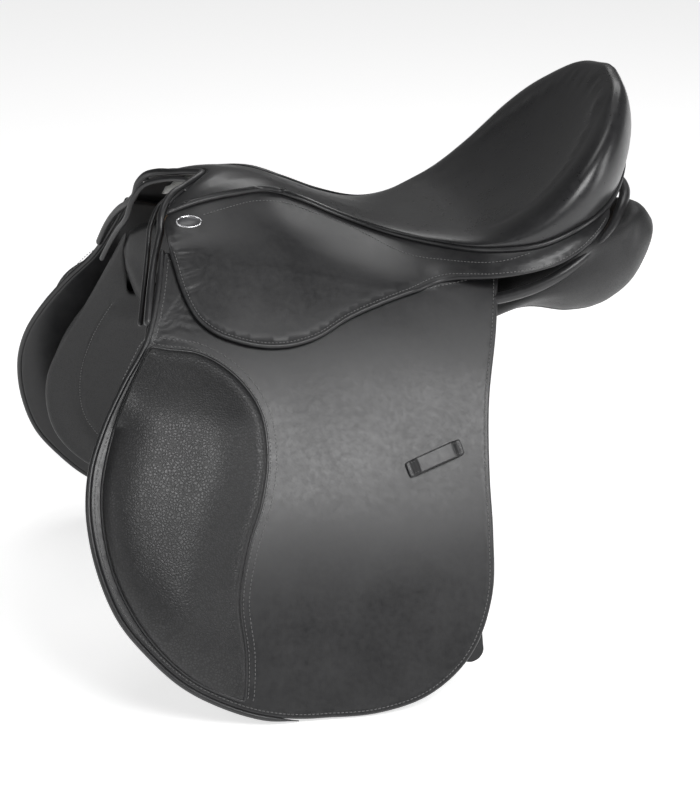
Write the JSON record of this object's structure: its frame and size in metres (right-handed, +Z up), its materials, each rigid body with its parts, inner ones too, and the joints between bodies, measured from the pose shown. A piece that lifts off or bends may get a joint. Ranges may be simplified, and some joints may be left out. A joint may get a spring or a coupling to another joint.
{
  "type": "english saddle",
  "caption": "Black leather general-purpose english saddle with a cut-back pommel, deep seat, external knee rolls, lifting flaps and skirts, and girth straps.",
  "frame": {"origin": "on the symmetry plane, at the level where the panel bears on the horse's back under the deepest part of the seat", "axes": "+X towards the horse's head, +Y to the rider's left, +Z up"},
  "size_m": [0.5413, 0.6042, 0.504],
  "materials": {
    "seat_leather": "smooth satin black",
    "skirt_leather": "smooth satin black",
    "flap_leather": "satin charcoal black",
    "grain_leather": "pebbled black",
    "panel_leather": "soft black",
    "girth_leather": "bridle leather, black",
    "welt_leather": "glossy black piping",
    "foam": "foam rubber",
    "webbing": "woven webbing",
    "tree_wood": "laminated beech",
    "tree_steel": "enamelled steel",
    "bar_steel": "forged and plated steel",
    "stud_metal": "polished"
  },
  "bodies": {
    "root": {"badge_stud_left": "stud_metal", "badge_stud_right": "stud_metal", "billet_tops_left": "girth_leather", "billet_tops_right": "girth_leather", "cantle_facing": "skirt_leather", "catch_pin_left": "bar_steel", "catch_pin_right": "bar_steel", "flap_upper_left": "flap_leather", "flap_upper_right": "flap_leather", "girth_webs_left": "webbing", "girth_webs_right": "webbing", "gullet_plate": "tree_steel", "gullet_stud_left": "stud_metal", "gullet_stud_right": "stud_metal", "head_plate": "tree_steel", "panel_flap_left": "panel_leather", "panel_flap_right": "panel_leather", "panel_left": "panel_leather", "panel_right": "panel_leather", "pommel_binding": "seat_leather", "seat_cross_web": "webbing", "seat_foam": "foam", "seat_leather": "seat_leather", "seat_webs": "webbing", "seat_welt_left": "welt_leather", "seat_welt_right": "welt_leather", "skirt_upper_left": "skirt_leather", "skirt_upper_right": "skirt_leather", "stirrup_bar_left": "bar_steel", "stirrup_bar_right": "bar_steel", "sweat_flap_left": "girth_leather", "sweat_flap_right": "girth_leather", "tree_cantle": "tree_wood", "tree_head": "tree_wood", "tree_rail_left": "tree_wood", "tree_rail_right": "tree_wood", "tree_rivets": "bar_steel", "tree_spring_left": "tree_steel", "tree_spring_right": "tree_steel"},
    "flap_left": {"flap_left": "flap_leather", "knee_roll_left": "grain_leather", "keeper_left": "flap_leather"},
    "skirt_left": {"skirt_left": "skirt_leather"},
    "catch_left": {"stirrup_catch_left": "bar_steel"},
    "straps_left": {"billet_front_left": "girth_leather", "billet_middle_left": "girth_leather", "billet_rear_left": "girth_leather"},
    "guard_left": {"buckle_guard_left": "girth_leather"},
    "flap_right": {"flap_right": "flap_leather", "knee_roll_right": "grain_leather", "keeper_right": "flap_leather"},
    "skirt_right": {"skirt_right": "skirt_leather"},
    "catch_right": {"stirrup_catch_right": "bar_steel"},
    "straps_right": {"billet_front_right": "girth_leather", "billet_middle_right": "girth_leather", "billet_rear_right": "girth_leather"},
    "guard_right": {"buckle_guard_right": "girth_leather"}
  },
  "joints": [
    {"name": "flap_lift_left", "type": "hinge", "parent": "root", "child": "flap_left", "pos_m": [0.064, 0.17414, 0.008], "axis": [0.9682, -0.1413, 0.2066], "range_deg": [0, 75]},
    {"name": "skirt_lift_left", "type": "hinge", "parent": "root", "child": "skirt_left", "pos_m": [0.085, 0.123, 0.085], "axis": [0.9667, -0.1677, 0.1933], "range_deg": [0, 75]},
    {"name": "catch_turn_left", "type": "hinge", "parent": "root", "child": "catch_left", "pos_m": [0.08, 0.132, 0.054], "axis": [0, 1, 0], "range_deg": [0, 60]},
    {"name": "straps_swing_left", "type": "hinge", "parent": "root", "child": "straps_left", "pos_m": [0.006, 0.18471, -0.032], "axis": [1, 0, 0], "range_deg": [0, 37.5]},
    {"name": "guard_slide_left", "type": "hinge", "parent": "straps_left", "child": "guard_left", "pos_m": [0.006, -0.487, -0.444], "axis": [1, 0, 0], "range_deg": [-4.4, 0]},
    {"name": "flap_lift_right", "type": "hinge", "parent": "root", "child": "flap_right", "pos_m": [0.064, -0.17414, 0.008], "axis": [-0.9682, -0.1413, -0.2066], "range_deg": [0, 75]},
    {"name": "skirt_lift_right", "type": "hinge", "parent": "root", "child": "skirt_right", "pos_m": [0.085, -0.123, 0.085], "axis": [-0.9667, -0.1677, -0.1933], "range_deg": [0, 75]},
    {"name": "catch_turn_right", "type": "hinge", "parent": "root", "child": "catch_right", "pos_m": [0.08, -0.132, 0.054], "axis": [0, 1, 0], "range_deg": [0, 60]},
    {"name": "straps_swing_right", "type": "hinge", "parent": "root", "child": "straps_right", "pos_m": [0.006, -0.18471, -0.032], "axis": [-1, 0, 0], "range_deg": [0, 37.5]},
    {"name": "guard_slide_right", "type": "hinge", "parent": "straps_right", "child": "guard_right", "pos_m": [0.006, 0.487, -0.444], "axis": [-1, 0, 0], "range_deg": [-4.4, 0]}
  ],
  "couplings": [
    {"joint": "catch_turn_left", "follows": "skirt_lift_left", "ratio": 0.8},
    {"joint": "straps_swing_left", "follows": "flap_lift_left", "ratio": 0.5},
    {"joint": "catch_turn_right", "follows": "skirt_lift_right", "ratio": 0.8},
    {"joint": "straps_swing_right", "follows": "flap_lift_right", "ratio": 0.5}
  ]
}
